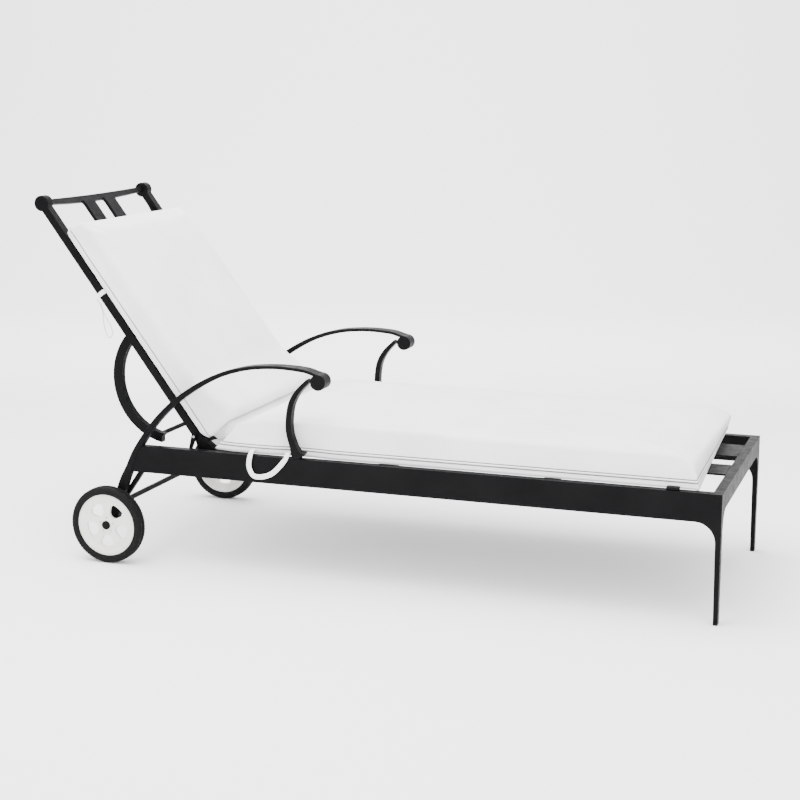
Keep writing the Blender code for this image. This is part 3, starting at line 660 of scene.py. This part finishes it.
def tape(name, path, normals, width, thick, material):
    """A flat woven tape along path, lying square to normals."""
    flat, edge = 0.86, 0.4  # where the face ends and the soft edge starts, as shares of the half sizes
    section = ((-1, -edge), (-1, edge), (-flat, 1), (flat, 1), (1, edge), (1, -edge), (flat, -1), (-flat, -1))
    bm = bmesh.new()
    rings = []
    last = len(path) - 1
    for i, point in enumerate(path):
        along = (path[min(i + 1, last)] - path[max(i - 1, 0)]).normalized()
        normal = (normals[i] - along * normals[i].dot(along)).normalized()
        across = along.cross(normal)
        ring = []
        for u, v in section:
            ring.append(bm.verts.new(point + across * u * width / 2 + normal * v * thick / 2))
        rings.append(ring)
    for one, two in zip(rings, rings[1:]):
        for j in range(len(one)):
            k = (j + 1) % len(one)
            bm.faces.new((one[j], one[k], two[k], two[j]))
    bm.faces.new(rings[0])
    bm.faces.new(rings[-1])
    bmesh.ops.recalc_face_normals(bm, faces=bm.faces)
    mesh = bpy.data.meshes.new(name)
    bm.to_mesh(mesh)
    bm.free()
    return new_object(name, mesh, material)


def make_seat_tie(material):
    """The tape that hangs in a loop over the near rail."""
    h = HINGE.x
    seat_side, hang = SEAT_LOW.y - 0.0006, -RAIL_OUT - 0.0045
    lip = -RAIL_IN - 0.018
    keys = (
        (h + 0.140, seat_side, RAIL_TOP + 0.012), (h + 0.140, lip, RAIL_TOP + 0.011),
        (h + 0.138, hang, RAIL_TOP - 0.004), (h + 0.136, hang, RAIL_TOP - 0.030),
        (h + 0.152, hang, RAIL_TOP - 0.052), (h + 0.195, hang, RAIL_TOP - 0.043),
        (h + 0.232, hang, RAIL_TOP - 0.006), (h + 0.237, lip, RAIL_TOP + 0.011),
        (h + 0.238, seat_side, RAIL_TOP + 0.012),
    )
    path = smooth_path(keys, 12)
    normals = []
    for p in path:
        share = min(max((p.z - RAIL_TOP + 0.010) / 0.018, 0), 1)
        normals.append(Vector((0, -(1 - share), share)).normalized())
    tie = tape("seat_tie_tape", path, normals, 13 * MM, 1.6 * MM, material)
    place_on(tie, "base", "tie_tape", "seat_tie")


def make_back_ties(material):
    """A tape round each stile, and the near one's spare cord hanging in a loop beside it."""
    low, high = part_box("back_tie_band_far")
    middle = (low + high) / 2
    reach = (middle - HINGE).dot(UP)
    half_y, half_off = (STILE_OUT - STILE_IN) / 2 + 1.4 * MM, 11.3 * MM
    corner = 3 * MM
    for label, side in SIDES:
        y_mid = side * (STILE_OUT + STILE_IN) / 2
        path, normals = [], []
        for cx, cy, turn in ((1, 1, 0), (-1, 1, 90), (-1, -1, 180), (1, -1, 270)):
            for step in range(5):
                t = math.radians(turn + 22.5 * step)
                off = cx * (half_off - corner) + corner * math.cos(t)
                y = cy * (half_y - corner) + corner * math.sin(t)
                path.append(on_back(reach, off, y_mid + y))
                normals.append(FRONT * math.cos(t) + Vector((0, math.sin(t), 0)))
        path.append(path[0].copy())
        normals.append(normals[0].copy())
        band = tape(f"back_tie_tape_{label}", path, normals, 12 * MM, 0.9 * MM, material)
        place_on(band, "back", "tie_tape", f"back_tie_band_{label}")
    s, y = reach, -STILE_OUT - 0.0045
    x, z = on_back(s, 0).x, on_back(s, 0).z
    keys = (
        (x - 0.010, y, z - 0.014), (x + 0.004, y, z - 0.040),
        (x + 0.007, y, z - 0.075), (x + 0.014, y, z - 0.103),
        (x + 0.025, y - 0.002, z - 0.113), (x + 0.033, y - 0.004, z - 0.103),
        (x + 0.031, y - 0.005, z - 0.083), (x + 0.020, y - 0.0055, z - 0.064),
        (x + 0.011, y - 0.006, z - 0.046), (x + 0.004, y - 0.006, z - 0.022),
    )
    path = smooth_path(keys, 6)
    cord = curve_tube("tie_cord_loop", path, 1.1 * MM, canvas("cord_yarn", "c4c4c0", "b6b6b2"))
    place_on(cord, "back", "tie_tape", "tie_cord")


# ---------------------------------------------------------------- wheels


def make_tyre(label, material):
    """A tyre with a rounded crown, a bead line and short ribs across both shoulders."""
    low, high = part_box(f"wheel_tyre_{label}")
    centre = (low + high) / 2
    radius, half = (high.z - low.z) / 2, (high.y - low.y) / 2
    bead = (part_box(f"wheel_rim_{label}")[1].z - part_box(f"wheel_rim_{label}")[0].z) / 2 + 0.3 * MM
    profile = [
        (bead, -half + 0.005), (bead + 0.0015, -half + 0.0018),
        (bead + 0.0035, -half + 0.0006), (bead + 0.006, -half),
        (radius - 0.0075, -half), (radius - 0.0042, -half + 0.0012), (radius - 0.0016, -half + 0.004),
        (radius - 0.0006, -half + 0.0085), (radius - 0.0004, -0.0032), (radius - 0.0016, -0.0026),
        (radius - 0.0016, -0.0006), (radius - 0.0002, 0.0),
    ]
    profile += [(r, -y) for r, y in reversed(profile[:-1])]
    turns, rib_depth = 288, 0.0009
    shoulder_from, shoulder_deep = half * 0.55, 0.006
    bm = bmesh.new()
    rings = []
    for i in range(turns):
        t = 2 * math.pi * i / turns
        rib = 0.0 if i % 4 < 2 else 1.0
        ring = []
        for r, y in profile:
            shoulder = abs(y) > shoulder_from and r > radius - shoulder_deep
            depth = rib_depth * rib if shoulder else 0.0
            ring.append(
                bm.verts.new(
                    (
                        centre.x + (r - depth) * math.cos(t),
                        centre.y + y - math.copysign(depth * 0.5, y),
                        centre.z + (r - depth) * math.sin(t),
                    )
                )
            )
        rings.append(ring)
    for i in range(turns):
        one, two = rings[i], rings[(i + 1) % turns]
        for j in range(len(profile)):
            k = (j + 1) % len(profile)
            bm.faces.new((one[j], one[k], two[k], two[j]))
    bmesh.ops.recalc_face_normals(bm, faces=bm.faces)
    mesh = bpy.data.meshes.new(f"tyre_{label}")
    bm.to_mesh(mesh)
    bm.free()
    tyre = new_object(f"tyre_{label}", mesh, material)
    tyre.data.set_sharp_from_angle(angle=math.radians(40))
    place_on(tyre, f"wheel_{label}", "tyre_rubber", f"wheel_tyre_{label}")


def make_hub_hole_shade(label, side, material):
    """Five small dark discs on the rim's face, round the hub cap: painted shade standing in for moulding holes."""
    low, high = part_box(f"wheel_rim_{label}")
    middle = (low + high) / 2
    face = (high.y if side > 0 else low.y) - side * 3.2 * MM
    ring = 0.0195
    bm = bmesh.new()
    for i in range(5):
        t = math.radians(72 * i + 18)
        place = Vector((middle.x + ring * math.cos(t), face, middle.z + ring * math.sin(t)))
        turn = Matrix.Translation(place) @ Matrix.Rotation(math.pi / 2, 4, "X")
        bmesh.ops.create_cone(
            bm, cap_ends=True, segments=16, radius1=1.5 * MM, radius2=1.5 * MM, depth=0.6 * MM, matrix=turn
        )
    mesh = bpy.data.meshes.new(f"hub_hole_shade_{label}")
    bm.to_mesh(mesh)
    bm.free()
    hole_shade = new_object(f"hub_hole_shade_{label}", mesh, material, smooth=False)
    place_on(hole_shade, f"wheel_{label}", "black_plastic")


# ---------------------------------------------------------------- frame finish


def finish_frame():
    made = {
        "powder_coat": powder_coat(),
        "zinc_steel": zinc_steel(),
        "black_plastic": black_plastic(),
        "rim_plastic": rim_plastic(),
        "tyre_rubber": tyre_rubber(),
        "canvas": canvas(),
        "tie_tape": tie_tape(),
    }
    slots = {row["node"]: row["material_slot"] for row in frame["record"]["subparts"]}
    for name, obj in NODES.items():
        for slot in obj.material_slots:
            slot.material = made[slots[name]]
    return made


def main():
    make_camera()
    finishes = finish_frame()
    make_seat_tie(finishes["tie_tape"])
    make_back_ties(finishes["tie_tape"])
    make_studio()
    make_cushions(finishes["canvas"])
    for label, side in SIDES:
        make_tyre(label, finishes["tyre_rubber"])
        make_hub_hole_shade(label, side, finishes["black_plastic"])


main()
